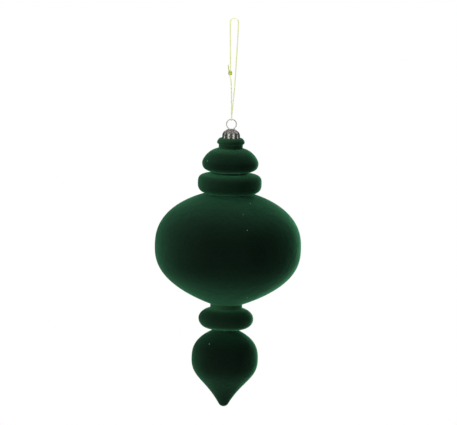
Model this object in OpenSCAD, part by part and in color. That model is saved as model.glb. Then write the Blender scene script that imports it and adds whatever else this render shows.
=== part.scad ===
// Finial tree ornament: a hollow moulded body with a flocked coat, a drawn crown cap,
// a sprung wire eye and a knotted thread loop. Sizes are in millimetres, +Z is up, and
// the origin is the point inside the top of the thread loop where a hook bears.

/* [Thread] */
// Diameter of the hanging thread
thread_d = 0.8; // [0.5:0.05:1]
// Radius of each wrap of the knot, measured to the middle of the thread
knot_wrap_radius = 0.95; // [0.8:0.05:1.4]
// Thickness of a wrap of the knot
knot_wrap_d = 1.3; // [1:0.05:1.6]
// Number of wraps in the knot
knot_wraps = 3; // [2:1:3]
// Length of the longer cut end that stands out of the knot
tail_length = 4.4; // [2:0.1:6]
// Length of the shorter cut end
short_tail_length = 3; // [2:0.1:6]

/* [Hanger wire] */
// Diameter of the spring wire
wire_d = 0.8; // [0.6:0.05:1]
// Radius of the eye to the middle of the wire
eye_radius = 3.7; // [3.2:0.05:5]
// Half the distance between the two legs where they enter the cap
leg_x = 2; // [1.5:0.05:2.5]
// Radius of the bend between the eye and each leg
eye_bend = 1.2; // [0.8:0.05:2]
// Straight length of a leg below the eye, before it splays
leg_drop = 1; // [0.6:0.1:2]
// Radius of the bend where a leg starts to splay
splay_bend = 5; // [3:0.1:10]
// Depth of the feet below the eye
leg_reach = 14; // [11:0.1:15]
// Gap between the wire eye and the thread
thread_gap = 0.05; // [0.02:0.01:0.2]

/* [Crown cap] */
// Height of the cap from the top of its dome to its lower edge
cap_height = 6.9; // [6:0.1:8]
// Outer radius of the dome's curve
dome_radius = 7.45; // [7.2:0.05:9]
// Thickness of the drawn sheet
sheet = 0.3; // [0.2:0.05:0.4]
// Number of flutes around the skirt
flutes = 10; // [6:1:12]
// Height of a flute above the valleys between flutes
flute_depth = 0.4; // [0.2:0.05:0.6]
// Radius of a flute's round crest
flute_radius = 1.3; // [1:0.05:1.6]
// Radius of the scallops in the lower edge, between the flutes
scallop_radius = 0.8; // [0.4:0.05:1]
// How far the top of the dome stands above the place where the legs enter
entry_depth = 0.35; // [0.3:0.05:1]
// Gap around the wire in the cap's two holes
hole_gap = 0.15; // [0.05:0.05:0.3]
// Radial gap between the cap and the spigot inside it
cap_fit = 0.08; // [0.03:0.01:0.2]
// Gap between the cap and what it sits on
seat_gap = 0.15; // [0.05:0.05:0.3]

/* [Neck] */
// Radius of the bare spigot under the cap
spigot_radius = 5.95; // [5.6:0.05:6.2]
// Radius of the bore that grips the legs of the hanger
bore_radius = 5.2; // [4.8:0.05:5.3]
// Radial gap between the feet of the hanger and the bore
foot_gap = 0.1; // [0.05:0.05:0.3]
// Radius of the bead below the cap
bead_radius = 10.45; // [9.5:0.05:12]
// Depth of the bead's belly below its flat top
bead_drop = 3.35; // [2.5:0.05:4.5]
// Rise of the bead's curve, carried on to the axis
bead_rise = 5.5; // [4.8:0.05:7]
// Fall of the bead's curve, carried on to the axis
bead_fall = 2.65; // [2.4:0.05:4]
// Radius of the neck between the bead and the upper bulb
neck_radius = 9.05; // [8:0.05:9.4]
// Depth of the top of the upper bulb below the bead's flat top
neck_length = 7; // [6:0.05:9]

/* [Upper bulb] */
// Radius of the upper bulb
bulb_radius = 21.2; // [16:0.1:28]
// Rise of the upper bulb's curve, carried on to the axis
bulb_rise = 11.25; // [9:0.25:18]
// Fall of the upper bulb's curve, carried on to the axis
bulb_fall = 7.5; // [6:0.25:12]

/* [Upper ring] */
// Radius of the upper ring
ring_radius = 24; // [18:0.1:32]
// Rise of the upper ring's curve, carried on to the axis
ring_rise = 8; // [6:0.25:14]
// Fall of the upper ring's curve, carried on to the axis
ring_fall = 8.25; // [6:0.25:14]
// Radius of the short stem between the upper bulb and the upper ring
stem_radius = 13.4; // [10:0.1:16]
// Length of the stem between their curves, measured at the axis
stem_length = 0.85; // [0.3:0.05:3]

/* [Main bulb] */
// Radius of the main bulb
main_radius = 55; // [40:0.5:70]
// Rise of the main bulb's curve, carried on to the axis
main_rise = 43; // [34:0.25:60]
// Fall of the main bulb's curve, carried on to the axis
main_fall = 47.25; // [34:0.25:60]
// How far the main bulb and the upper ring run into each other
main_overlap = 3.65; // [2.5:0.05:7]

/* [Lower ring] */
// Radius of the lower ring
lower_radius = 20.65; // [16:0.05:28]
// Rise of the lower ring's curve, carried on to the axis
lower_rise = 9.25; // [7:0.25:14]
// Fall of the lower ring's curve, carried on to the axis
lower_fall = 8.25; // [7:0.25:14]
// How far the lower ring and the main bulb run into each other
waist_overlap = 1.9; // [0.5:0.05:4]
// Radius of the waist between the main bulb and the lower ring
waist_radius = 12; // [9:0.1:15]

/* [Drop] */
// Radius of the drop
drop_radius = 25; // [18:0.1:34]
// Rise of the drop's curve, carried on to the axis
drop_rise = 25.5; // [16:0.25:32]
// Depth of the tip below the drop's belly
drop_fall = 35.8; // [28:0.1:50]
// How far the drop and the lower ring run into each other
drop_overlap = 2.7; // [1:0.05:5]
// Radius of the round tip
tip_radius = 4.2; // [2.5:0.1:5]
// Angle between the flank of the drop and its axis, just above the tip
tip_angle = 30; // [24:1:40]
// Length over which the drop's belly stays full
drop_fullness = 14; // [8:0.5:18]
// Length over which the flank runs straight to the tip
drop_flank = 21; // [12:0.5:24]

/* [Walls] */
// Thickness of the moulded wall
wall = 1.2; // [0.8:0.1:1.6]
// Depth of the flocked pile
pile = 0.6; // [0.3:0.05:1]

/* [Hidden] */
$fn = 96;

// The two exponents of each half of a lobe: how flat it is at the belly, and how full
// its shoulder is. Two and two make an ellipse.
bead_up_curve = [1.9, 2.2];
bead_down_curve = [2.1, 2.3];
bulb_up_curve = [1.26, 3.2];
bulb_down_curve = [2.75, 4.9];
ring_up_curve = [3.9, 5];
ring_down_curve = [2.6, 4.5];
main_up_curve = [2.4, 1.65];
main_down_curve = [2.48, 1.1];
lower_up_curve = [2, 2.85];
lower_down_curve = [1.9, 4.35];
drop_up_curve = [2.75, 1.22];
curve_steps = 14;
tip_steps = 5;

// Route of the thread, from the underside of the knot down to the eye, under its wire,
// up the right strand, over the top of the loop and back down to the knot.
thread_route = [
    [-2, 0.2, -42.9],
    [-2, 0.2, -43.9],
    [-1.7, 0.25, -45.3],
    [-1.2, 0.4, -47.7],
    [-0.8, 0.7, -53.1],
    [-0.5, 1, -60.7],
    [-0.3, 1.3, -68.2],
    [-0.1, 1.6, -72.3],
    [0, 1.75, -74.9],
    [0, 1.5, -75.8],
    [0, 0.85, -76.45],
    [0, 0, -76.65],
    [0, -0.85, -76.45],
    [0, -1.5, -75.8],
    [0, -1.75, -74.9],
    [0.1, -1.65, -72.3],
    [0.4, -1.4, -68.2],
    [1.1, -1, -59.1],
    [1.6, -0.6, -50],
    [2, -0.3, -41.4],
    [2.3, -0.1, -31.8],
    [2.7, 0, -20.2],
    [3, 0, -9.6],
    [3.05, 0, -5],
    [3, 0, -2.6],
    [2.6, 0, -1.1],
    [1.5, 0, 0],
    [0, 0, 0.4],
    [-1.5, 0, 0],
    [-2.6, 0, -1.1],
    [-3, 0, -2.6],
    [-2.95, 0, -5],
    [-2.8, 0, -10.6],
    [-2.5, 0, -18.2],
    [-2.2, 0.1, -27.3],
    [-2, 0.2, -35.7],
    [-2, 0.2, -37.9],
    [-2, 0.2, -38.9],
];
thread_sides = 8;
wire_sides = 12;
// Never along the thread or the wire, so that it gives every ring of a tube its first direction
side_way = [1, 1, 0];
// Bottom of the bight, where the thread passes under the wire
bight_z = min([for (p = thread_route) p.z]);
knot_bottom = thread_route[0];
knot_top = thread_route[len(thread_route) - 1];
knot_height = knot_top.z - knot_bottom.z;
knot_middle = (knot_bottom + knot_top) / 2;
// Lean of each cut end from upright, and the way round in which it points
tail_lean = 14;
short_tail_lean = 22;
tail_turn = 185;
short_tail_turn = 120;

// Hanger wire, worked down from the thread
wire_radius = wire_d / 2;
eye_top_z = bight_z + thread_d / 2 + thread_gap + wire_radius;
eye_z = eye_top_z - eye_radius;
eye_bend_x = leg_x + eye_bend;
leg_top_z = eye_z - sqrt(pow(eye_radius + eye_bend, 2) - pow(eye_bend_x, 2));
eye_open_angle = atan2(eye_z - leg_top_z, eye_bend_x);
foot_x = bore_radius - foot_gap - wire_radius;
splay_out = splay_bend - (foot_x - leg_x);
splay_depth = leg_reach - leg_drop;
splay_length = sqrt(pow(splay_out, 2) + pow(splay_depth, 2) - pow(splay_bend, 2));
splay_angle = atan2(splay_depth, splay_out) - atan2(splay_length, splay_bend);
eye_steps = 28;
bend_steps = 5;
splay_steps = 2;

// Crown cap, worked down from the place where the legs enter
cap_top_z = leg_top_z + entry_depth;
cap_edge_z = cap_top_z - cap_height;
dome_z = cap_top_z - dome_radius;
valley_radius = spigot_radius + cap_fit + sheet;
crest_radius = valley_radius + flute_depth;
spigot_top_z = dome_z + sqrt(pow(dome_radius - sheet, 2) - pow(spigot_radius, 2)) - seat_gap;

// Heights of the body's lobes, worked down from the cap
bead_top_z = cap_edge_z - seat_gap;
bead_z = bead_top_z - bead_drop;
bulb_z = bead_top_z - neck_length - bulb_rise;
ring_z = bulb_z - bulb_fall - stem_length - ring_rise;
main_z = ring_z - ring_fall - main_rise + main_overlap;
lower_z = main_z - main_fall - lower_rise + waist_overlap;
drop_z = lower_z - lower_fall - drop_rise + drop_overlap;
throat_radius = bore_radius + wall + pile;

// Middle part of a curve through points b and c, with a and d as their outer neighbours
function between(a, b, c, d) = (9 * (b + c) - a - d) / 16;

// Each point of a route, with one more worked out between it and the next
function doubled(route) =
    let (last = len(route) - 1)
    [
        for (i = [0 : 2 * last])
            i % 2 == 0
                ? route[i / 2]
                : between(
                    route[max((i - 3) / 2, 0)],
                    route[(i - 1) / 2],
                    route[(i + 1) / 2],
                    route[min((i + 3) / 2, last)]
                )
    ];

function unit(v) = v / norm(v);

// Direction of a route at its point i
function way_at(route, i) =
    unit(route[min(i + 1, len(route) - 1)] - route[max(i - 1, 0)]);

// One ring of a tube around a route, at its point i
function tube_ring(route, i, radius, sides) =
    let (
        way = way_at(route, i),
        across = unit(side_way - (side_way * way) * way),
        over = cross(way, across)
    )
    [
        for (k = [0 : sides - 1])
            route[i] + radius * (cos(360 * k / sides) * across + sin(360 * k / sides) * over)
    ];

// Point on half a lobe, from its belly at turn 0 to the axis at turn 90
function lobe_point(turn, radius, reach, curve) =
    [radius * pow(cos(turn), 2 / curve[1]), reach * pow(sin(turn), 2 / curve[0])];

// Half a lobe from its belly to the axis, rising or falling
function half_lobe(radius, reach, curve, rising) = [
    for (i = [0 : curve_steps])
        let (p = lobe_point(90 * i / curve_steps, radius, reach, curve))
            [p.x, rising ? p.y : -p.y]
];

// Points of an arc in the plane of the eye
function arc(middle, radius, from, sweep, steps) = [
    for (i = [0 : steps])
        let (turn = from + sweep * i / steps)
            middle + radius * [cos(turn), 0, sin(turn)]
];

function mirrored(route) = [for (p = route) [-p.x, p.y, p.z]];

function bezier(a, b, c, d, t) =
    pow(1 - t, 3) * a + 3 * pow(1 - t, 2) * t * b + 3 * (1 - t) * pow(t, 2) * c + pow(t, 3) * d;

function reversed(list) = [for (i = [len(list) - 1 : -1 : 0]) list[i]];

// A closed tube along a route, with flat ends
module tube(route, radius, sides) {
    rings = len(route);
    points = [for (i = [0 : rings - 1]) each tube_ring(route, i, radius, sides)];
    walls = [
        for (i = [0 : rings - 2], k = [0 : sides - 1])
            let (a = i * sides + k, b = i * sides + (k + 1) % sides)
                each [[a, a + sides, b + sides], [a, b + sides, b]]
    ];
    first_end = [for (k = [0 : sides - 1]) k];
    last_end = [for (k = [sides - 1 : -1 : 0]) (rings - 1) * sides + k];
    polyhedron(points, concat(walls, [first_end, last_end]));
}

// Outline of the skirt: flutes around a round wall, drawn in by the sheet for the inside
module skirt_outline(inset) {
    circle(valley_radius - inset);
    for (i = [0 : flutes - 1])
        rotate(360 * i / flutes)
            translate([crest_radius - flute_radius, 0])
                circle(flute_radius - inset);
}

// Solid inside the dome and the skirt, drawn in by the sheet for the inside
module cap_blank(inset) {
    intersection() {
        translate([0, 0, dome_z])
            sphere(dome_radius - inset);
        translate([0, 0, cap_edge_z - inset])
            linear_extrude(height = cap_height + inset)
                skirt_outline(inset);
    }
}

// One lobe of the body in half section, drawn in all round by inset
module lobe(z, radius, rise, fall, up_curve, down_curve, inset) {
    upper = half_lobe(radius - inset, rise - inset, up_curve, true);
    lower = half_lobe(radius - inset, fall - inset, down_curve, false);
    translate([0, z])
        polygon(concat(reversed(lower), [for (i = [1 : curve_steps]) upper[i]]));
}

// The drop in half section: a round shoulder, a hollowed flank and a round tip
module drop(inset) {
    upper = half_lobe(drop_radius - inset, drop_rise - inset, drop_up_curve, true);
    tip_z = tip_radius - drop_fall;
    tip = [
        for (i = [0 : tip_steps])
            let (turn = tip_angle + (90 - tip_angle) * i / tip_steps)
                [0, tip_z] + (tip_radius - inset) * [cos(turn), -sin(turn)]
    ];
    belly = [drop_radius - inset, 0];
    flank = [
        for (i = [1 : curve_steps - 1])
            bezier(
                belly,
                belly - [0, drop_fullness],
                tip[0] + drop_flank * [sin(tip_angle), cos(tip_angle)],
                tip[0],
                i / curve_steps
            )
    ];
    translate([0, drop_z])
        polygon(concat(reversed(concat(flank, tip)), upper));
}

// A straight run of the body in half section, between two heights
module run(radius, low_z, high_z) {
    translate([0, low_z])
        square([radius, high_z - low_z]);
}

// The five large lobes in half section, with the stem and the waist between them
module lobes(inset) {
    lobe(bulb_z, bulb_radius, bulb_rise, bulb_fall, bulb_up_curve, bulb_down_curve, inset);
    lobe(ring_z, ring_radius, ring_rise, ring_fall, ring_up_curve, ring_down_curve, inset);
    lobe(main_z, main_radius, main_rise, main_fall, main_up_curve, main_down_curve, inset);
    lobe(lower_z, lower_radius, lower_rise, lower_fall, lower_up_curve, lower_down_curve, inset);
    drop(inset);
    run(stem_radius - inset, ring_z, bulb_z);
    run(waist_radius - inset, lower_z, main_z);
}

// The whole body in half section, without its spigot
module body_outline(inset) {
    lobes(inset);
    intersection() {
        lobe(bead_z, bead_radius, bead_rise, bead_fall, bead_up_curve, bead_down_curve, inset);
        run(bead_radius, bulb_z, bead_top_z - inset);
    }
    run(neck_radius - inset, bulb_z, bead_z);
    run(throat_radius - inset, drop_z, bead_z);
}

module thread_loop() {
    color("#c9cf5e")
        tube(doubled(thread_route), thread_d / 2, thread_sides);
}

// A cut end of the thread, standing out of the upper part of the knot
module tail(length, lean, turn) {
    translate(knot_middle)
        rotate([0, lean, turn])
            translate([knot_wrap_radius, 0, 0])
                cylinder(h = knot_height / 2 + length, d = thread_d);
}

module thread_knot() {
    color("#8d9440") {
        translate(knot_bottom)
            cylinder(h = knot_height, r = knot_wrap_radius);
        for (i = [0 : knot_wraps - 1])
            translate(knot_bottom + [0, 0, knot_height * (i + 0.5) / knot_wraps])
                rotate_extrude()
                    translate([knot_wrap_radius, 0])
                        circle(d = knot_wrap_d);
        tail(tail_length, tail_lean, tail_turn);
        tail(short_tail_length, short_tail_lean, short_tail_turn);
    }
}

// One wire from foot to foot: a splayed leg, the eye and the other leg
module hanger_wire() {
    splay_middle = [leg_x + splay_bend, 0, leg_top_z - leg_drop];
    foot = [foot_x, 0, leg_top_z - leg_reach];
    splay = arc(splay_middle, splay_bend, 180 + splay_angle, -splay_angle, splay_steps);
    bend = arc([eye_bend_x, 0, leg_top_z], eye_bend, 180, -eye_open_angle, bend_steps);
    leg = concat([foot], splay, bend);
    eye = arc([0, 0, eye_z], eye_radius, -eye_open_angle, 180 + 2 * eye_open_angle, eye_steps);
    inner_eye = [for (i = [1 : eye_steps - 1]) eye[i]];
    color("#b4b6b8")
        tube(concat(leg, inner_eye, mirrored(reversed(leg))), wire_radius, wire_sides);
}

module crown_cap() {
    color("#8b8986")
        difference() {
            cap_blank(0);
            cap_blank(sheet);
            for (side = [-1, 1])
                translate([side * leg_x, 0, dome_z])
                    cylinder(h = dome_radius, r = wire_radius + hole_gap);
            for (i = [0 : flutes - 1])
                rotate(360 * (i + 0.5) / flutes)
                    translate([bore_radius, 0, cap_edge_z])
                        rotate([0, 90, 0])
                            cylinder(h = dome_radius - bore_radius, r = scallop_radius);
        }
}

module finial_shell() {
    color("#1d4a33")
        rotate_extrude()
            difference() {
                union() {
                    body_outline(pile);
                    run(spigot_radius, bead_z, spigot_top_z);
                }
                lobes(pile + wall);
                run(bore_radius, drop_z, spigot_top_z);
            }
}

module flock_coat() {
    color("#14382a")
        rotate_extrude()
            difference() {
                body_outline(0);
                body_outline(pile);
                run(spigot_radius, bead_z, bead_top_z);
            }
}

thread_loop();
thread_knot();
hanger_wire();
crown_cap();
finial_shell();
flock_coat();
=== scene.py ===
"""Looks of the finial ornament: flocked body, plated crown, wire eye and knotted metallic thread.

Every length is in metres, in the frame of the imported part: +Z is up, and the origin is the point
inside the top of the thread loop where a hook bears.
"""
import logging
import math
from collections.abc import Callable
from dataclasses import dataclass
from enum import Enum
from functools import partial
from typing import Any

import bpy
import numpy as np
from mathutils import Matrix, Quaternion, Vector


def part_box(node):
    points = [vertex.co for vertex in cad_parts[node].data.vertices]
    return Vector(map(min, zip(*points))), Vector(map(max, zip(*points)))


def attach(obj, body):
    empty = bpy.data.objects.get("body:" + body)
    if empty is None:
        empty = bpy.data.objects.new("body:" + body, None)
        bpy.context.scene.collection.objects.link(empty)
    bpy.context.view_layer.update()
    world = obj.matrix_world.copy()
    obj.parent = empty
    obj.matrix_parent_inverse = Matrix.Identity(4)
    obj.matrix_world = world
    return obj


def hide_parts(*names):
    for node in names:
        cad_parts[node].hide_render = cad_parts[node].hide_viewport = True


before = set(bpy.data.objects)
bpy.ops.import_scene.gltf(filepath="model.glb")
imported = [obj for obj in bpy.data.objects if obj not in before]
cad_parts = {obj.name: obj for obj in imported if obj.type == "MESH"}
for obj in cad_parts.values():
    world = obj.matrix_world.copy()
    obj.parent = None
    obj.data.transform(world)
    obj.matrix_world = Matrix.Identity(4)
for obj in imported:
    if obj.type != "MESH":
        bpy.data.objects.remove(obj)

log = logging.getLogger("finial_ornament")

Array = np.ndarray
Piece = bpy.types.Object
Node = bpy.types.Node
Adder = Callable[..., Node]
Pair = tuple[float, float]
Place = tuple[float, float, float]
Stops = tuple[tuple[float, str], ...]
MM = 0.001
WHITE = "#ffffff"
UP = np.array([0.0, 0.0, 1.0])
# Numbers of a Mix node's colour inputs, which share their names with its other inputs
MIX_FIRST = 6
MIX_SECOND = 7
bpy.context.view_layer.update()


class Body(Enum):
    """The moving bodies that the pieces ride on."""

    THREAD = "thread"
    HANGER = "hanger"
    FINIAL = "finial"


class Slot(Enum):
    """Names of the record's material slots."""

    THREAD = "metallic_thread"
    WIRE = "spring_wire"
    CROWN = "plated_cap"
    FLOCK = "green_flock"


# Small helpers for colours, nodes and meshes


def linear(code: str) -> tuple[float, float, float, float]:
    """Turn an sRGB hex colour into linear light.

    Args:
        code: Colour such as "#1d4a33".

    Returns:
        Red, green, blue and an alpha of one.
    """
    shades = np.array([int(code[i:i + 2], 16) for i in (1, 3, 5)]) / 255
    light = np.where(shades <= 0.04045, shades / 12.92, ((shades + 0.055) / 1.055) ** 2.4)
    return (*(float(value) for value in light), 1.0)


def feed(node: Node, sockets: dict[Any, Any]) -> None:
    """Set a node's inputs.

    Args:
        node: The node.
        sockets: For each input, by name or number, its value, or the output that feeds it, or a
            node whose first live output does.
    """
    for key, value in sockets.items():
        if isinstance(value, Node):
            value = next(output for output in value.outputs if output.enabled)
        if isinstance(value, bpy.types.NodeSocket):
            node.id_data.links.new(value, node.inputs[key])
        else:
            node.inputs[key].default_value = value


def add_node(tree: bpy.types.NodeTree, kind: str, sockets: dict[Any, Any] | None = None,
             stops: Stops = (), **settings: Any) -> Node:
    """Add a node to a tree with its settings, values and links.

    Args:
        tree: Node tree that takes the node.
        kind: Blender's name for the node's type, less its first word.
        sockets: What goes into its inputs, as feed takes it.
        stops: Place and sRGB hex colour of each stop, in order, where the node has a ramp.
        settings: The node's own properties.

    Returns:
        The new node.
    """
    node = tree.nodes.new("ShaderNode" + kind)
    for name, value in settings.items():
        setattr(node, name, value)
    feed(node, sockets or {})
    if stops:
        marks = node.color_ramp.elements
        for place, code in stops:
            marks.new(place).color = linear(code)
        # The two marks that every new ramp has, at its ends
        marks.remove(marks[0])
        marks.remove(marks[-1])
    return node


def unit(vectors: Array) -> Array:
    """Vectors along the last axis, made one long."""
    return vectors / np.linalg.norm(vectors, axis=-1, keepdims=True)


def full_turn(columns: int) -> Array:
    """Evenly spaced angles once around, the last one short of the first."""
    return 2 * np.pi * np.arange(columns) / columns


def turned(radii: Array, heights: Array) -> Array:
    """Points turned about Z: (radius cos angle, radius sin angle, height).

    Args:
        radii: Radius as ring, point around.
        heights: Heights that broadcast with the radii.

    Returns:
        Points as ring, point around, axis.
    """
    turn = full_turn(radii.shape[1])
    points = np.broadcast_arrays(radii * np.cos(turn), radii * np.sin(turn), heights)
    return np.stack(points, axis=-1)


def grid_faces(rows: int, columns: int, closed_rows: bool = False) -> Array:
    """Quads of a grid whose columns close on themselves.

    Args:
        rows: Number of rings.
        columns: Number of points around each ring.
        closed_rows: True where the last ring joins the first.

    Returns:
        Four point numbers for each quad, facing out when rings turn left about their path.
    """
    row = np.arange(rows if closed_rows else rows - 1)[:, None]
    column = np.arange(columns)[None, :]
    beside = (column + 1) % columns
    above = (row + 1) % rows
    low, high = row * columns, above * columns
    corners = (low + column, low + beside, high + beside, high + column)
    return np.stack(np.broadcast_arrays(*corners), axis=-1).reshape(-1, 4)


def fan(pole: int, ring: Array) -> Array:
    """Triangles from one point to each edge of a closed ring, in the ring's own order."""
    return np.column_stack([np.full(len(ring), pole), ring, np.roll(ring, -1)])


def capped(rings: Array, first: Array, last: Array) -> tuple[Array, list[Array]]:
    """A closed skin over rings, with a pole at each end.

    Args:
        rings: Ring by ring, points that turn left about the way from first to last.
        first: Pole before the first ring.
        last: Pole after the last ring.

    Returns:
        Its points, and its quads and fans as arrays of point numbers.
    """
    rows, columns = rings.shape[:2]
    points = np.concatenate([rings.reshape(-1, 3), [first, last]])
    ring = np.arange(columns)
    first_fan = fan(rows * columns, ring[::-1])
    last_fan = fan(rows * columns + 1, ring + (rows - 1) * columns)
    return points, [grid_faces(rows, columns), first_fan, last_fan]


def make_piece(name: str, points: Array, faces: list[Array]) -> Piece:
    """Put points and faces into a smooth-shaded mesh object at the origin.

    Args:
        name: Name of the piece.
        points: One point per row.
        faces: Arrays of point numbers, one face per row.

    Returns:
        The new object, linked to the scene.
    """
    mesh = bpy.data.meshes.new(name)
    mesh.from_pydata(points.tolist(), [], [face for group in faces for face in group.tolist()])
    mesh.update()
    mesh.shade_smooth()
    piece = bpy.data.objects.new(name, mesh)
    bpy.context.scene.collection.objects.link(piece)
    return piece


def settle(piece: Piece, finish: "Finish", body: Body, slot: Slot, *nodes: str) -> None:
    """Give a piece its finish, the body that it rides on and the CAD nodes that it stands for.

    Args:
        piece: The piece.
        finish: Its surface finish.
        body: The body that it moves with.
        slot: The record's slot for its material; not used.
        nodes: The CAD nodes that it replaces.
    """
    piece.data.materials.append(finish.material())
    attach(piece, body.value)
    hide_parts(*nodes)
    log.info("%s: %d faces, rides on %s", piece.name, len(piece.data.polygons), body.value)


# Paths and tubes


def refined(route: Array, rounds: int) -> Array:
    """Smooth an open route by adding points between its own.

    A new point between b and c, whose outer neighbours are a and d, is (9(b + c) - a - d) / 16.

    Args:
        route: Points in order.
        rounds: How many times the number of points is doubled.

    Returns:
        The refined points, with the first and the last kept.
    """
    for _ in range(rounds):
        padded = np.concatenate([route[:1], route, route[-1:]])
        middles = (9 * (route[:-1] + route[1:]) - padded[:-3] - padded[3:]) / 16
        whole = np.empty((2 * len(route) - 1, route.shape[1]))
        whole[0::2] = route
        whole[1::2] = middles
        route = whole
    return route


def run_lengths(route: Array) -> Array:
    """Length along a route at each of its points, from zero."""
    return np.concatenate([[0], np.cumsum(np.linalg.norm(np.diff(route, axis=0), axis=1))])


def sampled(route: Array, along: Array, wanted: Array) -> Array:
    """A route at the wanted lengths, where along gives the length at each of its points."""
    return np.column_stack([np.interp(wanted, along, values) for values in route.T])


def evenly(route: Array, count: int) -> Array:
    """A route's line at evenly spaced points.

    Args:
        route: Points in order.
        count: Number of points wanted.

    Returns:
        The new points, ends included.
    """
    along = run_lengths(route)
    return sampled(route, along, np.linspace(0, along[-1], count))


def tube_rings(path: Array, radii: Array, side: Array, closed: bool = False) -> Array:
    """Rings around a path.

    Each ring lies square to the path. Its first direction is the side vector less its part along
    the path, so the rings don't twist where the side vector keeps clear of the path.

    Args:
        path: Points of the centreline.
        radii: Radius as path point, point around.
        side: Vector that is never along the path.
        closed: True where the path ends where it began, with no point repeated.

    Returns:
        Points as path point, point around, axis.
    """
    if closed:
        way = unit(np.roll(path, -1, axis=0) - np.roll(path, 1, axis=0))
    else:
        way = unit(np.gradient(path, axis=0))
    across = unit(side - (way @ side)[:, None] * way)
    over = np.cross(way, across)
    turn = full_turn(radii.shape[1])[None, :, None]
    spoke = np.cos(turn) * across[:, None] + np.sin(turn) * over[:, None]
    return path[:, None] + radii[..., None] * spoke


def round_ended(path: Array, radius: float, steps: int) -> tuple[Array, Array]:
    """Add hemispherical ends to a path for a round wire.

    Args:
        path: Points of the centreline, without the ends.
        radius: Radius of the wire.
        steps: Rings in each end.

    Returns:
        The lengthened path, and the radius at each of its points.
    """
    rise = np.linspace(0, 1, steps + 1)[1:-1] * np.pi / 2
    out = radius * np.sin(rise)
    shrink = radius * np.cos(rise)
    first_way = unit(path[0] - path[1])
    last_way = unit(path[-1] - path[-2])
    first = path[0] + out[::-1, None] * first_way
    last = path[-1] + out[:, None] * last_way
    full = np.full(len(path), radius)
    return np.concatenate([first, path, last]), np.concatenate([shrink[::-1], full, shrink])


# Finishes


@dataclass(frozen=True)
class Finish:
    """A surface finish with one Principled shader."""

    name: str = "finish"

    def material(self) -> bpy.types.Material:
        """Make the finish's material.

        Returns:
            The new material.
        """
        made = bpy.data.materials.new(self.name)
        made.use_nodes = True
        tree = made.node_tree
        feed(tree.nodes["Principled BSDF"], self.dress(partial(add_node, tree)))
        return made

    def dress(self, add: Adder) -> dict[str, Any]:
        """Add the nodes that vary the finish, with scales per metre.

        Args:
            add: Adds a node to the material.

        Returns:
            What goes into the shader's inputs.
        """
        raise NotImplementedError


@dataclass(frozen=True)
class FlockedNylon(Finish):
    """Nylon flock that stands on end in glue.

    Seen straight on, the eye looks down between the fibres, which is nearly black. Seen aslant, it
    meets their sides, which catch the light, so every edge has a paler green rim.
    """

    name: str = "flocked_nylon_velvet"
    deep: str = "#080d0a"
    fibre: str = "#0f1712"
    # Paler colour mixed in by height: pile laid over by brushing, and painted light and sheen where the
    # lamps leave shade
    brushed_and_painted_light: str = "#335a3f"
    lint: str = "#a3b5aa"
    sheen_tint: str = "#4a9c6e"
    # Clumps are drawn several times coarser than real flock, or they wouldn't show
    clump: float = 1.6 * MM
    brushed_patch: float = 26 * MM
    lint_spacing: float = 12 * MM
    lint_radius: float = 0.36 * MM
    pile_relief: float = 0.25 * MM
    # Strokes leave the pile leaning this way and that, which mottles the light on it
    stroke: float = 8 * MM
    stroke_relief: float = 0.4 * MM
    tip_z: float = -293.6 * MM
    top_z: float = -90 * MM
    # Share of the way from tip to top, and how much paler colour is mixed in there. It is partly pile
    # laid over by brushing on the rings and the neck, which a hand holds, and partly painted light and
    # sheen, most of all in the grooves and at the waist, where the lamps leave shade
    brushing_and_painted_light_bands: Stops = (
        (0.28, "#000000"), (0.29, "#ffffff"), (0.299, "#ffffff"), (0.304, "#707070"),
        (0.36, "#707070"), (0.366, "#ffffff"), (0.384, "#ffffff"), (0.392, "#000000"),
        (0.785, "#000000"), (0.8, "#707070"), (0.862, "#707070"), (0.867, "#b8b8b8"),
        (0.876, "#b8b8b8"), (0.882, "#3a3a3a"), (0.945, "#3a3a3a"), (0.96, "#a4a4a4"),
    )

    def dress(self, add: Adder) -> dict[str, Any]:
        """Mottle the fibres, mix in the paler pile and painted light by height and scatter a few lint
        specks.

        Args:
            add: Adds a node to the material.

        Returns:
            The shader's inputs.
        """
        place = add("TexCoord").outputs["Object"]
        clumps = add("TexNoise", {
            "Vector": place, "Scale": 1 / self.clump, "Detail": 3.0, "Roughness": 0.6})
        patches = add("TexNoise", {"Vector": place, "Scale": 1 / self.brushed_patch, "Detail": 2.0})
        both = add("Math", {0: clumps, 1: patches}, operation="ADD")
        halved = add("Math", {0: both, 1: 0.5}, operation="MULTIPLY")
        green = add("ValToRGB", {"Fac": halved}, stops=((0.34, self.deep), (0.66, self.fibre)))
        axes = add("SeparateXYZ", {"Vector": place})
        height = add("MapRange", {
            "Value": axes.outputs["Z"], "From Min": self.tip_z, "From Max": self.top_z})
        # How much paler colour each height gets: partly brushing, partly painted light and sheen
        brushing_and_painted_light_share = add("ValToRGB", {"Fac": height}, stops=self.brushing_and_painted_light_bands)
        pile_with_painted_light = add("Mix", {
            "Factor": brushing_and_painted_light_share, MIX_FIRST: green, MIX_SECOND: linear(self.brushed_and_painted_light)}, data_type="RGBA")
        cells = add("TexVoronoi", {"Vector": place, "Scale": 1 / self.lint_spacing})
        speck = add("Math", {
            0: cells, 1: self.lint_radius / self.lint_spacing}, operation="LESS_THAN")
        colour = add("Mix", {
            "Factor": speck, MIX_FIRST: pile_with_painted_light, MIX_SECOND: linear(self.lint)}, data_type="RGBA")
        strokes = add("TexNoise", {
            "Vector": place, "Scale": 1 / self.stroke, "Detail": 2.0, "Roughness": 0.6})
        lean = add("Bump", {"Strength": 1.0, "Distance": self.stroke_relief, "Height": strokes})
        pile = add("Bump", {
            "Strength": 0.3, "Distance": self.pile_relief, "Height": clumps, "Normal": lean})
        return {
            "Base Color": colour, "Normal": pile, "Roughness": 1.0, "Specular IOR Level": 0.12,
            "Sheen Weight": 1.0, "Sheen Roughness": 0.5, "Sheen Tint": linear(self.sheen_tint)}


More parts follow.
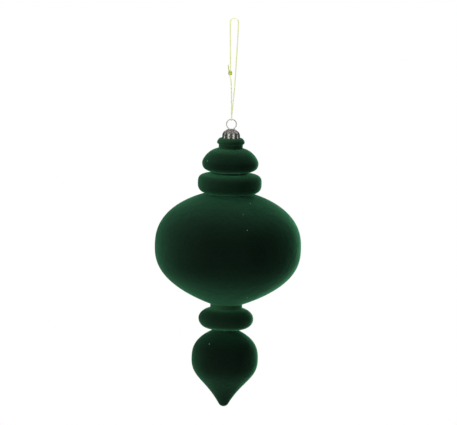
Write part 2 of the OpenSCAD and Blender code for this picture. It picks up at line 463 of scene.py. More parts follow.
@dataclass(frozen=True)
class PlatedBrass(Finish):
    """Thin brass, drawn and stamped, then nickel plated.

    It mirrors its surroundings softly. Its colour is paler on the crests of the flutes and darker in
    the valleys, as painted highlight and painted shade, and grey film in patches breaks the mirror up.
    """

    name: str = "nickel_plated_stamped_brass"
    bright: str = "#dad8d1"
    film: str = "#4a4944"
    flutes: int = 10
    # How much painted highlight the crests and painted shade the valleys get, from none at the dome to
    # all at the skirt
    painted_flute_light: float = 0.2
    dome_z: float = -85.4 * MM
    skirt_z: float = -86.8 * MM
    film_patch: float = 1.1 * MM
    stamp_grain: float = 0.5 * MM
    grain_relief: float = 0.04 * MM

    def dress(self, add: Adder) -> dict[str, Any]:
        """Paint highlight on the crests and shade in the valleys, film the metal in patches and add
        grain.

        The flutes follow the cosine of their number times the angle around the axis.

        Args:
            add: Adds a node to the material.

        Returns:
            The shader's inputs.
        """
        place = add("TexCoord").outputs["Object"]
        film = add("TexNoise", {
            "Vector": place, "Scale": 1 / self.film_patch, "Detail": 4.0, "Roughness": 0.65})
        grain = add("TexNoise", {"Vector": place, "Scale": 1 / self.stamp_grain, "Detail": 2.0})
        axes = add("SeparateXYZ", {"Vector": place})
        turn = add("Math", {0: axes.outputs["Y"], 1: axes.outputs["X"]}, operation="ARCTAN2")
        waves = add("Math", {0: turn, 1: self.flutes}, operation="MULTIPLY")
        # Paler on the crests and darker in the valleys by the angle around the axis: painted highlight
        # and painted shade
        flute_light_mask = add("Math", {0: waves}, operation="COSINE")
        skirt = add("MapRange", {
            "Value": axes.outputs["Z"], "From Min": self.dome_z, "From Max": self.skirt_z,
            "To Min": 0.0, "To Max": self.painted_flute_light})
        film_and_painted_flute_light = add("Math", {0: flute_light_mask, 1: skirt, 2: film}, operation="MULTIPLY_ADD")
        colour = add("ValToRGB", {"Fac": film_and_painted_flute_light}, stops=((0.45, self.film), (0.78, self.bright)))
        gloss = add("MapRange", {
            "Value": film_and_painted_flute_light, "From Min": 0.35, "From Max": 0.7, "To Min": 0.42, "To Max": 0.2})
        relief = add("Bump", {"Strength": 0.6, "Distance": self.grain_relief, "Height": grain})
        return {"Base Color": colour, "Roughness": gloss, "Normal": relief, "Metallic": 1.0}


@dataclass(frozen=True)
class MottledMetal(Finish):
    """Metal whose colour and gloss change together in small patches."""

    patch: float = 1 * MM
    detail: float = 2.0
    stops: Stops = ()
    # Where on the patches' noise the gloss starts and ends, and the roughness at each
    gloss_from: Pair = (0.3, 0.7)
    roughness: Pair = (0.5, 0.2)

    def dress(self, add: Adder) -> dict[str, Any]:
        """Colour and polish the metal by one noise.

        Args:
            add: Adds a node to the material.

        Returns:
            The shader's inputs.
        """
        place = add("TexCoord").outputs["Object"]
        patches = add("TexNoise", {"Vector": place, "Scale": 1 / self.patch, "Detail": self.detail})
        colour = add("ValToRGB", {"Fac": patches}, stops=self.stops)
        gloss = add("MapRange", {
            "Value": patches, "From Min": self.gloss_from[0], "From Max": self.gloss_from[1],
            "To Min": self.roughness[0], "To Max": self.roughness[1]})
        return {"Base Color": colour, "Roughness": gloss, "Metallic": 1.0}


@dataclass(frozen=True)
class DrawnWire(MottledMetal):
    """Spring steel wire, drawn through a die and nickel plated: bright, with faint duller marks."""

    name: str = "nickel_plated_spring_steel"
    patch: float = 0.9 * MM
    detail: float = 3.0
    stops: Stops = ((0.35, "#8a8985"), (0.6, "#cccbc8"))
    roughness: Pair = (0.34, 0.2)


@dataclass(frozen=True)
class FilmWrappedThread(MottledMetal):
    """Two plies wrapped in gold-coloured film: yellow-green flashes about as long as one wrap."""

    name: str = "gold_film_wrapped_thread"
    patch: float = 0.7 * MM
    stops: Stops = ((0.32, "#e0ea52"), (0.46, "#f7fd92"), (0.62, "#feffd4"))
    gloss_from: Pair = (0.35, 0.65)
    roughness: Pair = (0.5, 0.25)


@dataclass(frozen=True)
class MouldedPolystyrene(Finish):
    """Impact polystyrene, moulded in dark green and left bare under the crown.

    It is satin, with the fine grain of the mould.
    """

    name: str = "moulded_green_polystyrene"
    shade: str = "#12301f"
    pale: str = "#1d4a33"
    cloud: float = 9 * MM
    mould_grain: float = 0.6 * MM
    grain_relief: float = 0.03 * MM

    def dress(self, add: Adder) -> dict[str, Any]:
        """Cloud the colour a little and grain the satin surface.

        Args:
            add: Adds a node to the material.

        Returns:
            The shader's inputs.
        """
        place = add("TexCoord").outputs["Object"]
        clouds = add("TexNoise", {"Vector": place, "Scale": 1 / self.cloud, "Detail": 2.0})
        grain = add("TexNoise", {"Vector": place, "Scale": 1 / self.mould_grain, "Detail": 2.0})
        colour = add("ValToRGB", {"Fac": clouds}, stops=((0.3, self.shade), (0.7, self.pale)))
        relief = add("Bump", {"Strength": 0.3, "Distance": self.grain_relief, "Height": grain})
        return {"Base Color": colour, "Normal": relief, "Roughness": 0.45, "IOR": 1.59}


# The thread


@dataclass
class Thread:
    """The hanging loop of twisted metallic thread and the knot that closes it."""

    finish: FilmWrappedThread = FilmWrappedThread()
    # The knot is coloured darker than the loop: painted shade where its wraps shade one another
    shaded_knot_finish: FilmWrappedThread = FilmWrappedThread(
        name="gold_film_thread_painted_knot_shade",
        stops=((0.32, "#abb137"), (0.46, "#d0d552"), (0.62, "#e8ec8a")))
    diameter: float = 0.8 * MM
    lay: float = 2.2 * MM
    pinch: float = 0.24
    columns: int = 12
    ring_spacing: float = 0.2 * MM
    smoothing_rounds: int = 3
    side: Place = (1.0, 1.0, 0.0)
    wrap_radius: float = 0.98 * MM
    wrap_diameter: float = 1.15 * MM
    wraps: float = 3.25
    wrap_taper: float = 0.35
    wrap_rings: int = 150
    knot_side: Place = (1.0, 1.0, 0.35)
    tail_diameter: float = 0.6 * MM
    tail_bow: float = 0.25 * MM
    tail_rings: int = 40
    # Of each cut end, the length that stands out of the knot, the lean from upright and the way
    # round in which it leans
    tails: tuple[Place, ...] = (
        (4.4 * MM, math.radians(7), math.radians(185)),
        (3 * MM, math.radians(22), math.radians(120)),
    )

    # From the bight under the eye up the right strand, over the top, down to the knot and on
    # down the left strand to the bight, in millimetres
    ROUTE = (
        (0, 0, -76.65), (0, -0.85, -76.45), (0, -1.5, -75.8), (0, -1.75, -74.9), (0.1, -1.65, -72.3),
        (0.4, -1.4, -68.2), (1.1, -1, -59.1), (1.6, -0.6, -50), (2, -0.3, -41.4), (2.3, -0.1, -31.8),
        (2.7, 0, -20.2), (3, 0, -9.6), (3.05, 0, -5), (3, 0, -2.6), (2.6, 0, -1.1), (1.5, 0, 0),
        (0, 0, 0.4), (-1.5, 0, 0), (-2.6, 0, -1.1), (-3, 0, -2.6), (-2.95, 0, -5), (-2.8, 0, -10.6),
        (-2.5, 0, -18.2), (-2.2, 0.1, -27.3), (-2, 0.2, -35.7), (-2, 0.2, -37.9), (-2, 0.2, -38.9),
        (-2, 0.2, -42.9), (-2, 0.2, -43.9), (-1.7, 0.25, -45.3), (-1.2, 0.4, -47.7), (-0.8, 0.7, -53.1),
        (-0.5, 1, -60.7), (-0.3, 1.3, -68.2), (-0.1, 1.6, -72.3), (0, 1.75, -74.9), (0, 1.5, -75.8),
        (0, 0.85, -76.45), (0, 0, -76.65),
    )
    KNOT_TOP = 26
    KNOT_BOTTOM = 27

    def build(self) -> None:
        route = np.array(self.ROUTE) * MM
        knot = self.knot(route[self.KNOT_BOTTOM], route[self.KNOT_TOP])
        settle(knot, self.shaded_knot_finish, Body.THREAD, Slot.THREAD, "thread_knot")
        path = refined(route, self.smoothing_rounds)
        loop = self.loop(path)
        settle(loop, self.finish, Body.THREAD, Slot.THREAD, "thread_loop")

    def section(self, along: Array, diameter: float, lay: float) -> Array:
        """Radius of a thread of two twisted plies.

        The section is a circle pinched at two opposite places, and it turns once in each lay:
        radius = half the diameter times (1 - pinch (1 - cos(2 (angle - turn))) / 2).

        Args:
            along: Length along the thread at each ring.
            diameter: Diameter over both plies.
            lay: Length of one full turn.

        Returns:
            Radii as ring, point around.
        """
        angle = full_turn(self.columns)[None, :]
        turn = 2 * np.pi * along[:, None] / lay
        return diameter / 2 * (1 - self.pinch * (1 - np.cos(2 * (angle - turn))) / 2)

    def loop(self, path: Array) -> Piece:
        """Carry the two-ply section around the closed path, with a whole number of turns of lay.

        Args:
            path: Centreline, whose last point is its first.

        Returns:
            The loop.
        """
        length = run_lengths(path)[-1]
        rings = round(length / self.ring_spacing)
        centres = evenly(path, rings + 1)[:-1]
        lay = length / round(length / self.lay)
        along = length * np.arange(rings) / rings
        radii = self.section(along, self.diameter, lay)
        points = tube_rings(centres, radii, np.array(self.side), closed=True)
        faces = grid_faces(rings, self.columns, closed_rows=True)
        return make_piece("twisted_thread", points.reshape(-1, 3), [faces])

    def knot(self, bottom: Array, top: Array) -> Piece:
        """Wind the thread round the strands and stand its two cut ends out of the top.

        The wraps follow a helix that is widest halfway up: radius times (1 - taper u^4), where u
        runs from -1 at the bottom to 1 at the top.

        Args:
            bottom: Underside of the knot.
            top: Upper side of the knot.

        Returns:
            The knot, as one mesh of three closed tubes.
        """
        u = np.linspace(-1, 1, self.wrap_rings)
        turn = math.pi * self.wraps * u
        reach = self.wrap_radius * (1 - self.wrap_taper * u ** 4)
        height = (top[2] - bottom[2] - self.wrap_diameter) / 2
        middle = (bottom + top) / 2
        helix = middle + np.column_stack([reach * np.cos(turn), reach * np.sin(turn), height * u])
        runs = [(helix, self.wrap_diameter)]
        runs += [(self.tail(middle, top, *tail), self.tail_diameter) for tail in self.tails]
        points, faces = np.empty((0, 3)), []
        for path, diameter in runs:
            radii = self.section(run_lengths(path), diameter, self.lay)
            rings = tube_rings(path, radii, np.array(self.knot_side))
            tube, tube_faces = capped(rings, path[0], path[-1])
            faces += [len(points) + group for group in tube_faces]
            points = np.concatenate([points, tube])
        return make_piece("tied_knot", points, faces)

    def tail(self, middle: Array, top: Array, length: float, lean: float, turn: float) -> Array:
        """Centreline of a cut end, from inside the knot to its tip.

        It leans from upright by the lean and points the way of the turn, and it bows a little
        sideways by a half wave of sine.

        Args:
            middle: Middle of the knot.
            top: Upper side of the knot.
            length: Length that stands out of the knot.
            lean: Angle from upright.
            turn: Way round in which it leans.

        Returns:
            Points of the centreline.
        """
        reach = np.linspace(0, top[2] - middle[2] + length, self.tail_rings)
        bow = self.tail_bow * np.sin(np.pi * reach / reach[-1])
        out = self.wrap_radius * math.cos(lean) + reach * math.sin(lean)
        up = reach * math.cos(lean) - self.wrap_radius * math.sin(lean)
        outward = np.array([math.cos(turn), math.sin(turn), 0])
        sideways = np.array([-math.sin(turn), math.cos(turn), 0])
        return middle + out[:, None] * outward + bow[:, None] * sideways + up[:, None] * UP


# The hanger


@dataclass
class Hanger:
    """The sprung wire eye and the stamped crown that it holds on the neck."""

    wire_finish: DrawnWire = DrawnWire()
    crown_finish: PlatedBrass = PlatedBrass()
    wire_radius: float = 0.4 * MM
    eye_radius: float = 3.7 * MM
    leg_x: float = 2 * MM
    eye_bend: float = 1.2 * MM
    leg_drop: float = 1 * MM
    splay_bend: float = 5 * MM
    foot_x: float = 4.7 * MM
    splay_steps: int = 10
    bend_steps: int = 14
    eye_steps: int = 96
    wire_rings: int = 360
    wire_columns: int = 14
    end_rings: int = 5
    # How far each end's pole stands out of its last ring, as a share of that ring's radius
    end_crown: float = 0.3
    dome_radius: float = 7.45 * MM
    sheet: float = 0.3 * MM
    flutes: int = 10
    valley_radius: float = 6.33 * MM
    flute_radius: float = 1.3 * MM
    flute_depth: float = 0.4 * MM
    scallop_radius: float = 0.8 * MM
    shoulder: float = 0.22 * MM
    hole_radius: float = 0.55 * MM
    hole_columns: int = 28
    punch_rise: float = 2 * MM
    punch_depth: float = 3 * MM
    crown_columns: int = 240
    dome_rows: int = 26
    skirt_rows: int = 12
    # Lean of the dome's first ring from the axis, as a share of the lean at the skirt
    first_ring: float = 0.04
    sharp_edge: float = math.radians(50)
    stamp_height: float = 0.16 * MM
    # Lean from the axis and half width of the stamped bead and of the leaves
    bead: Pair = (math.radians(28), math.radians(3.2))
    leaf: Pair = (math.radians(45), math.radians(9))
    leaf_share: float = 0.9

    def build(self) -> None:
        """Make the wire and the crown."""
        settle(self.wire(), self.wire_finish, Body.HANGER, Slot.WIRE, "hanger_wire")
        settle(self.crown(), self.crown_finish, Body.HANGER, Slot.CROWN, "crown_cap")

    def wire(self) -> Piece:
        """Bend one round wire into a foot, a leg, the eye, the other leg and its foot.

        Every bend is an arc: centre + radius (cos angle, 0, sin angle).

        Returns:
            The wire.
        """
        low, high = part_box("hanger_wire")
        eye_z = high.z - self.wire_radius - self.eye_radius
        bend_x = self.leg_x + self.eye_bend
        leg_z = eye_z - math.sqrt((self.eye_radius + self.eye_bend) ** 2 - bend_x ** 2)
        opening = math.atan2(eye_z - leg_z, bend_x)
        splay_z = leg_z - self.leg_drop
        foot_z = low.z + self.wire_radius
        out = self.leg_x + self.splay_bend - self.foot_x
        depth = splay_z - foot_z
        straight = math.sqrt(out ** 2 + depth ** 2 - self.splay_bend ** 2)
        splay = math.atan2(depth, out) - math.atan2(straight, self.splay_bend)
        splay_middle = (self.leg_x + self.splay_bend, 0, splay_z)
        leg = np.concatenate([
            [[self.foot_x, 0, foot_z]],
            self.arc(splay_middle, self.splay_bend, math.pi + splay, -splay, self.splay_steps),
            self.arc((bend_x, 0, leg_z), self.eye_bend, math.pi, -opening, self.bend_steps),
        ])
        eye = self.arc(
            (0, 0, eye_z), self.eye_radius, -opening, math.pi + 2 * opening, self.eye_steps)
        other = leg[::-1] * np.array([-1, 1, 1])
        corners = np.concatenate([leg, eye[1:-1], other])
        path, radius = round_ended(
            evenly(corners, self.wire_rings), self.wire_radius, self.end_rings)
        radii = np.tile(radius[:, None], self.wire_columns)
        rings = tube_rings(path, radii, np.array([0.0, 1.0, 0.0]))
        first = path[0] + unit(path[0] - path[1]) * radius[0] * self.end_crown
        last = path[-1] + unit(path[-1] - path[-2]) * radius[-1] * self.end_crown
        return make_piece("eye_wire", *capped(rings, first, last))

    def arc(self, middle: Place, radius: float, start: float, sweep: float, steps: int) -> Array:
        """Points of an arc in the plane of the eye.

        Args:
            middle: Centre of the arc.
            radius: Its radius.
            start: Angle of its first point from X.
            sweep: Angle that it turns through.
            steps: Number of steps along it.

        Returns:
            The points, ends included.
        """
        turn = start + sweep * np.linspace(0, 1, steps + 1)
        spoke = np.column_stack([np.cos(turn), np.zeros(steps + 1), np.sin(turn)])
        return np.array(middle) + radius * spoke

    def skirt_radius(self, turn: Array, inset: float) -> Array:
        """Radius of the fluted skirt at each angle around it.

        A flute is a circle whose crest stands flute_depth proud of the valleys. At an angle a from
        its middle the ray meets it at c cos(a) + sqrt(r^2 - c^2 sin(a)^2), and the skirt takes the
        larger of that and the valley.

        Args:
            turn: Angle around the axis.
            inset: How far the surface is drawn in.

        Returns:
            The radius at each angle.
        """
        pitch = 2 * math.pi / self.flutes
        off = (turn + pitch / 2) % pitch - pitch / 2
        centre = self.valley_radius + self.flute_depth - self.flute_radius
        round_part = (self.flute_radius - inset) ** 2 - (centre * np.sin(off)) ** 2
        flute = centre * np.cos(off) + np.sqrt(np.maximum(round_part, 0))
        return np.maximum(self.valley_radius - inset, np.where(round_part > 0, flute, 0))

    def stamping(self, turn: Array, lean: Array) -> Array:
        """Height of the relief stamped into the dome.

        It is a bead that circles the wire's holes, and below it one leaf above each flute: the
        leaves are a cosine around the dome, faded in and out from the bead to the skirt.

        Args:
            turn: Angle around the axis.
            lean: Angle from the dome's axis.

        Returns:
            The height at each place.
        """
        bead, fade = (
            np.exp(-((lean - middle) / width) ** 2) for middle, width in (self.bead, self.leaf))
        leaves = fade * np.cos(self.flutes * turn)
        return self.stamp_height * (bead + self.leaf_share * leaves)

    def crown_skin(self, inset: float, top_z: float, edge_z: float) -> Array:
        """One side of the crown's sheet, from near its axis to its scalloped edge.

        At a depth d below the top the dome's radius is sqrt(R^2 - (R - d)^2). The skin takes the
        smaller of that and the skirt's radius, rounded where they meet by a soft minimum:
        -k log(exp(-a / k) + exp(-b / k)).

        Args:
            inset: How far the skin lies inside the crown's outer face.
            top_z: Top of the dome.
            edge_z: Lowest point of the edge.

        Returns:
            Points as ring, angle, axis.
        """
        turn = full_turn(self.crown_columns)
        radius = self.dome_radius - inset
        brow = math.asin(self.valley_radius / self.dome_radius)
        dome_lean = brow * np.linspace(self.first_ring, 1, self.dome_rows)
        dome_depth = self.dome_radius - radius * np.cos(dome_lean)
        pitch = 2 * math.pi / self.flutes
        off = turn % pitch - pitch / 2
        cut = np.sqrt(np.maximum(self.scallop_radius ** 2 - (self.valley_radius * off) ** 2, 0))
        edge_depth = top_z - edge_z - cut
        share = np.linspace(0, 1, self.skirt_rows + 1)[1:, None]
        skirt_depth = dome_depth[-1] + share * (edge_depth - dome_depth[-1])
        depth = np.concatenate([np.tile(dome_depth[:, None], self.crown_columns), skirt_depth])
        ball = np.sqrt(np.maximum(radius ** 2 - (self.dome_radius - depth) ** 2, 0))
        skirt = self.skirt_radius(turn, inset)[None, :]
        k = self.shoulder
        reach = -k * np.log(np.exp(-ball / k) + np.exp(-skirt / k))
        lean = np.arcsin(np.clip(reach / radius, 0, 1))
        relief = self.stamping(turn[None, :], lean)
        return turned(reach + relief * np.sin(lean), top_z - depth + relief * np.cos(lean))

    def crown(self) -> Piece:
        """Draw the sheet into a dome with a fluted skirt, and punch the wire's two holes.

        Returns:
            The crown.
        """
        low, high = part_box("crown_cap")
        outer = self.crown_skin(0, high.z, low.z)
        inner = self.crown_skin(self.sheet, high.z, low.z)
        rings = np.concatenate([outer, inner[::-1]])[:, ::-1]
        top = high.z * UP
        crown = make_piece("stamped_crown", *capped(rings, top, top - self.sheet * UP))
        for side in (-1, 1):
            self.punch(crown, side * self.leg_x, high.z)
        crown.data.set_sharp_from_angle(angle=self.sharp_edge)
        return crown

    def punch(self, crown: Piece, x: float, top_z: float) -> None:
        """Cut one round hole for a leg through the top of the crown.

        Args:
            crown: The crown.
            x: Where the leg passes.
            top_z: Top of the dome.
        """
        ends = np.array([[x, 0, top_z - self.punch_depth], [x, 0, top_z + self.punch_rise]])
        radii = np.full((2, self.hole_columns), self.hole_radius)
        rings = tube_rings(ends, radii, np.array([1.0, 0, 0]))
        punch = make_piece("punch", *capped(rings, *ends))
        cut = crown.modifiers.new("hole", "BOOLEAN")
        cut.operation = "DIFFERENCE"
        cut.solver = "EXACT"
        cut.object = punch
        graph = bpy.context.evaluated_depsgraph_get()
        cut_mesh = bpy.data.meshes.new_from_object(crown.evaluated_get(graph))
        crown.modifiers.clear()
        crown.data = cut_mesh
        bpy.data.objects.remove(punch)


# The finial


@dataclass(frozen=True)
class Lobe:
    """One turned lobe: a belly with a half lobe above it and another below.

    At a height h above or below the belly the radius is R (1 - (h / H)^a)^(1 / b), where H is the
    reach of that half, a says how flat the belly is and b how full the shoulder is.
    """

    radius: float
    rise: float
    fall: float
    up_curve: Pair
    down_curve: Pair = (2, 2)

    def half(self, height: Array, reach: float, curve: Pair, inset: float) -> Array:
        """Radius of one half at each height from the belly, and zero past its reach."""
        share = np.clip(np.abs(height) / (reach - inset), 0, 1)
        return (self.radius - inset) * (1 - share ** curve[0]) ** (1 / curve[1])

    def radii(self, height: Array, inset: float) -> Array:
        """Radius of the lobe.

        Args:
            height: Heights above the belly.
            inset: How far the lobe is drawn in all round.

        Returns:
            The radius at each height.
        """
        upper = self.half(height, self.rise, self.up_curve, inset)
        lower = self.half(height, self.fall, self.down_curve, inset)
        return np.where(height >= 0, upper, lower)


@dataclass(frozen=True)
class Drop(Lobe):
    """The lowest lobe: a round shoulder, a hollowed flank and a round tip."""

    tip_radius: float = 4.2 * MM
    tip_angle: float = math.radians(30)
    tip_points: int = 60
    fullness: float = 14 * MM
    flank: float = 21 * MM
    flank_points: int = 400

    def radii(self, height: Array, inset: float) -> Array:
        """Radius of the drop: below the belly, a cubic Bezier curve and then the tip's arc.

        Args:
            height: Heights above the belly.
            inset: How far the drop is drawn in all round.

        Returns:
            The radius at each height.
        """
        upper = self.half(height, self.rise, self.up_curve, inset)
        belly = np.array([self.radius - inset, 0])
        turn = np.linspace(self.tip_angle, math.pi / 2, self.tip_points)
        middle = np.array([0, self.tip_radius - self.fall])
        tip = middle + (self.tip_radius - inset) * np.column_stack([np.cos(turn), -np.sin(turn)])
        along = np.array([math.sin(self.tip_angle), math.cos(self.tip_angle)])
        t = np.linspace(0, 1, self.flank_points)[:, None]
        flank = ((1 - t) ** 3 * belly + 3 * (1 - t) ** 2 * t * (belly - [0, self.fullness])
                 + 3 * (1 - t) * t ** 2 * (tip[0] + self.flank * along) + t ** 3 * tip[0])
        line = np.concatenate([flank, tip[1:]])[::-1]
        lower = np.interp(height, line[:, 1], line[:, 0], left=0, right=0)
        return np.where(height >= 0, upper, lower)


@dataclass
class Finial:
    """The hollow turned body and its velvet coat."""

    coat_finish: FlockedNylon = FlockedNylon()
    shell_finish: MouldedPolystyrene = MouldedPolystyrene()
    bead: Lobe = Lobe(10.45 * MM, 5.5 * MM, 2.65 * MM, (1.9, 2.2), (2.1, 2.3))
    bulb: Lobe = Lobe(21.2 * MM, 11.25 * MM, 7.5 * MM, (1.26, 3.2), (2.75, 4.9))
    ring: Lobe = Lobe(24 * MM, 8 * MM, 8.25 * MM, (3.9, 5), (2.6, 4.5))
    main: Lobe = Lobe(55 * MM, 43 * MM, 47.25 * MM, (2.4, 1.65), (2.48, 1.1))
    lower: Lobe = Lobe(20.65 * MM, 9.25 * MM, 8.25 * MM, (2, 2.85), (1.9, 4.35))
    drop: Drop = Drop(25 * MM, 25.5 * MM, 35.8 * MM, (2.75, 1.22))
    bead_drop: float = 3.35 * MM
    neck_radius: float = 9.05 * MM
    neck_length: float = 7 * MM
    stem_radius: float = 13.4 * MM
    stem_length: float = 0.85 * MM
    main_overlap: float = 3.65 * MM
    waist_overlap: float = 1.9 * MM
    waist_radius: float = 12 * MM
    drop_overlap: float = 2.7 * MM
    spigot_radius: float = 5.95 * MM
    pile: float = 0.6 * MM
    pile_rounding: float = 0.35 * MM
    columns: int = 168
    outer_rows: int = 330
    inner_rows: int = 110
    height_samples: int = 9000
    line_spacing: float = 0.05 * MM
    # How far the rounding's bell reaches, in its own widths, and how rows crowd at bends
    bell_reach: float = 3
    bend_crowding: float = 40

    def build(self) -> None:
        """Make the coat, and give the moulded shell its finish."""
        settle(self.coat(), self.coat_finish, Body.FINIAL, Slot.FLOCK, "flock_coat")
        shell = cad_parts["finial_shell"]
        shell.data.materials.clear()
        shell.data.materials.append(self.shell_finish.material())
        log.info("finial_shell: kept from the frame, with a moulded finish")

    def outline(self, z: Array, top_z: float, inset: float) -> Array:
        """Radius of the body at each height: the largest of its lobes, neck, stem and waist.

        The lobes are stacked from the bead's flat top down, and each is zero past its reach.

        Args:
            z: Heights.
            top_z: Height of the bead's flat top.
            inset: How far the outline is drawn in.

        Returns:
            The radius at each height.
        """
        bead_z = top_z - self.bead_drop
        bulb_z = top_z - self.neck_length - self.bulb.rise
        ring_z = bulb_z - self.bulb.fall - self.stem_length - self.ring.rise
        main_z = ring_z - self.ring.fall - self.main.rise + self.main_overlap
        lower_z = main_z - self.main.fall - self.lower.rise + self.waist_overlap
        drop_z = lower_z - self.lower.fall - self.drop.rise + self.drop_overlap
        lobes = ((self.bead, bead_z), (self.bulb, bulb_z), (self.ring, ring_z),
                 (self.main, main_z), (self.lower, lower_z), (self.drop, drop_z))
        stems = ((self.neck_radius, bulb_z, bead_z), (self.stem_radius, ring_z, bulb_z),
                 (self.waist_radius, lower_z, main_z))
        radii = [lobe.radii(z - height, inset) for lobe, height in lobes]
        for radius, low, high in stems:
            radii.append(np.where((z > low) & (z < high), radius - inset, 0))
        return np.max(radii, axis=0)

    def profile(self, top_z: float, tip_z: float, inset: float, rows: int) -> Array:
        """Half section of one face of the coat, from the tip up and in to the spigot.

        The line is spread evenly, rounded by a Gaussian as wide as the flock rounds corners, and
        then taken at rows that crowd where it bends.

        Args:
            top_z: Height of the bead's flat top.
            tip_z: Height of the tip.
            inset: How far the face lies inside the coat's outer face.
            rows: Number of points wanted.

        Returns:
            Radius and height of each point, without the pole at the tip.
        """
        z = np.linspace(tip_z + inset, top_z - inset, self.height_samples)
        line = np.column_stack([self.outline(z, top_z, inset), z])
        line[0, 0] = 0
        line = np.concatenate([line, [[self.spigot_radius, top_z - inset]]])
        line = evenly(line, round(run_lengths(line)[-1] / self.line_spacing))
        reach = round(self.bell_reach * self.pile_rounding / self.line_spacing)
        steps = np.arange(-reach, reach + 1) * self.line_spacing
        bell = np.exp(-(steps / self.pile_rounding) ** 2 / 2)
        before = line[1:reach + 1][::-1] * np.array([-1, 1])
        after = 2 * line[-1] - line[-reach - 1:-1][::-1]
        longer = np.concatenate([before, line, after])
        smooth = np.column_stack(
            [np.convolve(values, bell / bell.sum(), "valid") for values in longer.T])
        way = unit(np.gradient(smooth, axis=0))
        bend = np.linalg.norm(np.gradient(way, axis=0), axis=1)
        crowding = np.cumsum(1 + self.bend_crowding * bend)
        return sampled(smooth, crowding, np.linspace(crowding[0], crowding[-1], rows + 1)[1:])

    def coat(self) -> Piece:
        """Turn the coat's outer and inner faces about the axis, as one closed skin.

        Returns:
            The coat.
        """
        low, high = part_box("flock_coat")
        outer = self.profile(high.z, low.z, 0, self.outer_rows)
        inner = self.profile(high.z, low.z, self.pile, self.inner_rows)
        section = np.concatenate([outer, inner[::-1]])
        rings = turned(np.tile(section[:, :1], self.columns), section[:, 1:])
        tip = low.z * UP
        return make_piece("velvet_coat", *capped(rings, tip, tip + self.pile * UP))


# The studio


@dataclass(frozen=True)
class SoftLight:
    """A rectangular soft light that faces the ornament."""

    name: str
    place: Place
    width: float
    height: float
    power: float

    def build(self, target: Vector) -> None:
        """Hang the light, turned towards the target, where neither camera nor metal sees it.

        Args:
            target: Point that the light's own place is measured from.
        """
        lamp = bpy.data.lights.new(self.name, "AREA")
        lamp.shape = "RECTANGLE"
        lamp.size = self.width
        lamp.size_y = self.height
        lamp.energy = self.power
        light = bpy.data.objects.new(self.name, lamp)
        light.location = target + Vector(self.place)
        light.rotation_mode = "QUATERNION"
        light.rotation_quaternion = (-Vector(self.place)).to_track_quat("-Z", "Y")
        light.visible_camera = False
        light.visible_glossy = False
        bpy.context.scene.collection.objects.link(light)


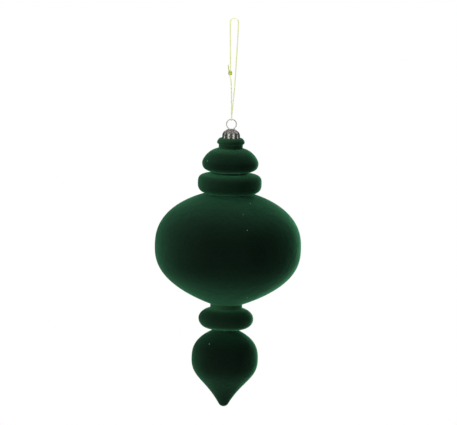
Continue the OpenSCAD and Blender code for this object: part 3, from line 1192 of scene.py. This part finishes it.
@dataclass
class Studio:
    """White surroundings, soft lights and the camera at the photograph's viewing angle."""

    target: Place = (-0.3 * MM, 0.0, -146.3 * MM)
    distance: float = 6.0
    elevation: float = math.radians(7.5)
    roll: float = math.radians(1.65)
    field_width: float = 343.3 * MM
    floor_z: float = -0.46
    floor_radius: float = 0.45
    floor_rings: int = 12
    floor_columns: int = 96
    floor_shade: str = "#b4b4b2"
    # Shares of the floor's radius: its first ring, and where its glow starts and ends to rise
    first_ring: float = 0.05
    glow_from: Pair = (0.35, 0.95)
    glow: Pair = (0.55, 1.0)
    card_place: Place = (1.1, 0.51, 0.1)
    card_size: Pair = (1.9, 1.4)
    card_shade: str = "#8a8a88"
    lights: tuple[SoftLight, ...] = (
        SoftLight("left_softbox", (-1.15, -0.55, 0.1), 0.3, 1.2, 10.8),
        SoftLight("right_softbox", (1.25, -0.2, 0.1), 0.6, 1.2, 5.0),
        SoftLight("right_back_softbox", (0.45, 1.1, 0.0), 0.5, 1.2, 15.5),
        SoftLight("top_softbox", (0.0, 0.25, 1.1), 1.0, 1.0, 4.4),
        SoftLight("upper_left_softbox", (-0.7, 0.1, 0.95), 0.8, 0.8, 6.8),
        SoftLight("upper_back_softbox", (0.6, 0.7, 0.7), 0.7, 0.6, 1.0),
        SoftLight("low_back_bounce", (0.2, 0.75, -0.26), 0.9, 0.3, 7.8),
    )

    def build_camera(self) -> None:
        """Place a long lens that frames the ornament as the photograph does."""
        lens = bpy.data.cameras.new("camera")
        lens.lens = lens.sensor_width * self.distance / self.field_width
        camera = bpy.data.objects.new("camera", lens)
        back = Vector((0, -math.cos(self.elevation), math.sin(self.elevation)))
        camera.location = Vector(self.target) + self.distance * back
        camera.rotation_mode = "QUATERNION"
        level = (-back).to_track_quat("-Z", "Y")
        camera.rotation_quaternion = level @ Quaternion((0, 0, 1), self.roll)
        bpy.context.scene.collection.objects.link(camera)
        bpy.context.scene.camera = camera

    def build(self) -> None:
        """Add the lights, the surroundings, the floor and the grey cards."""
        bpy.context.scene.view_settings.view_transform = "Standard"
        for light in self.lights:
            light.build(Vector(self.target))
        self.build_world()
        self.build_floor()
        for side in (-1, 1):
            self.build_card(side)

    def seen_or_mirrored(self, add: Adder) -> Node:
        """Tell what is seen from what only lights the ornament.

        Args:
            add: Adds a node to the tree that asks.

        Returns:
            A node that gives one where the camera, a mirror or glass looks, and else zero.
        """
        path = add("LightPath")
        seen = add("Math", {
            0: path.outputs["Is Camera Ray"], 1: path.outputs["Is Glossy Ray"]},
            operation="MAXIMUM")
        return add("Math", {
            0: seen, 1: path.outputs["Is Transmission Ray"]}, operation="MAXIMUM")

    def build_world(self) -> None:
        """Surround the ornament with white that is seen and mirrored and gives no light."""
        world = bpy.data.worlds.new("white_surround")
        world.use_nodes = True
        world.node_tree.nodes.clear()
        add = partial(add_node, world.node_tree)
        white = add("Background", {"Color": linear(WHITE), "Strength": 1.0})
        dark = add("Background", {"Strength": 0.0})
        both = add("MixShader", {0: self.seen_or_mirrored(add), 1: dark, 2: white})
        add("OutputWorld", {"Surface": both})
        bpy.context.scene.world = world

    def build_floor(self) -> None:
        """Lay a round pale floor below, whose rim fades into the white surroundings."""
        rows, columns = self.floor_rings, self.floor_columns
        radii = self.floor_radius * np.linspace(self.first_ring, 1, rows)
        rings = turned(np.tile(radii[:, None], columns), np.array(self.floor_z))
        points = np.concatenate([rings.reshape(-1, 3), [self.floor_z * UP]])
        middle = fan(rows * columns, np.arange(columns))
        floor = make_piece("floor", points, [grid_faces(rows, columns)[:, ::-1], middle])
        material = bpy.data.materials.new("matt_white_floor")
        material.use_nodes = True
        material.node_tree.nodes.clear()
        add = partial(add_node, material.node_tree)
        place = add("TexCoord").outputs["Object"]
        out = add("VectorMath", {0: place, 1: self.floor_z * UP}, operation="DISTANCE")
        low, high = (share * self.floor_radius for share in self.glow_from)
        rim = add("MapRange", {
            "Value": out, "From Min": low, "From Max": high,
            "To Min": self.glow[0], "To Max": self.glow[1]})
        seen = self.seen_or_mirrored(add)
        glow = add("Math", {0: rim, 1: seen}, operation="MULTIPLY")
        matt = add("BsdfDiffuse", {"Color": linear(self.floor_shade)})
        light = add("Emission", {"Color": linear(WHITE), "Strength": glow})
        both = add("AddShader", {0: matt, 1: light})
        add("OutputMaterial", {"Surface": both})
        floor.data.materials.append(material)

    def build_card(self, side: int) -> None:
        """Stand a grey card behind one side, which only the metal sees, as a studio's dark end.

        Args:
            side: -1 for the left card and 1 for the right one.
        """
        half_width, half_height = (span / 2 for span in self.card_size)
        u, v = np.meshgrid([-half_width, half_width], [-half_height, half_height])
        place = np.array(self.card_place) * np.array([side, 1, 1])
        across = unit(np.array([place[1], -place[0], 0.0]))
        points = np.array(self.target) + place + u[..., None] * across + v[..., None] * UP
        card = make_piece("dark_card", points.reshape(-1, 3), [np.array([[0, 1, 3, 2]])])
        material = bpy.data.materials.new("matt_grey_card")
        material.use_nodes = True
        shader = material.node_tree.nodes["Principled BSDF"]
        feed(shader, {"Base Color": linear(self.card_shade), "Roughness": 1.0})
        card.data.materials.append(material)
        card.visible_camera = False
        card.visible_diffuse = False
        card.visible_shadow = False


def write_sizes() -> None:
    """Bring the scene's matrices up to date."""
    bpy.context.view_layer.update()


def main() -> None:
    """Build the camera, the ornament from the thread down, and the studio."""
    logging.basicConfig(level=logging.INFO, format="%(name)s: %(message)s")
    studio = Studio()
    studio.build_camera()
    Thread().build()
    Hanger().build()
    Finial().build()
    studio.build()
    write_sizes()


if __name__ == "__main__":
    main()
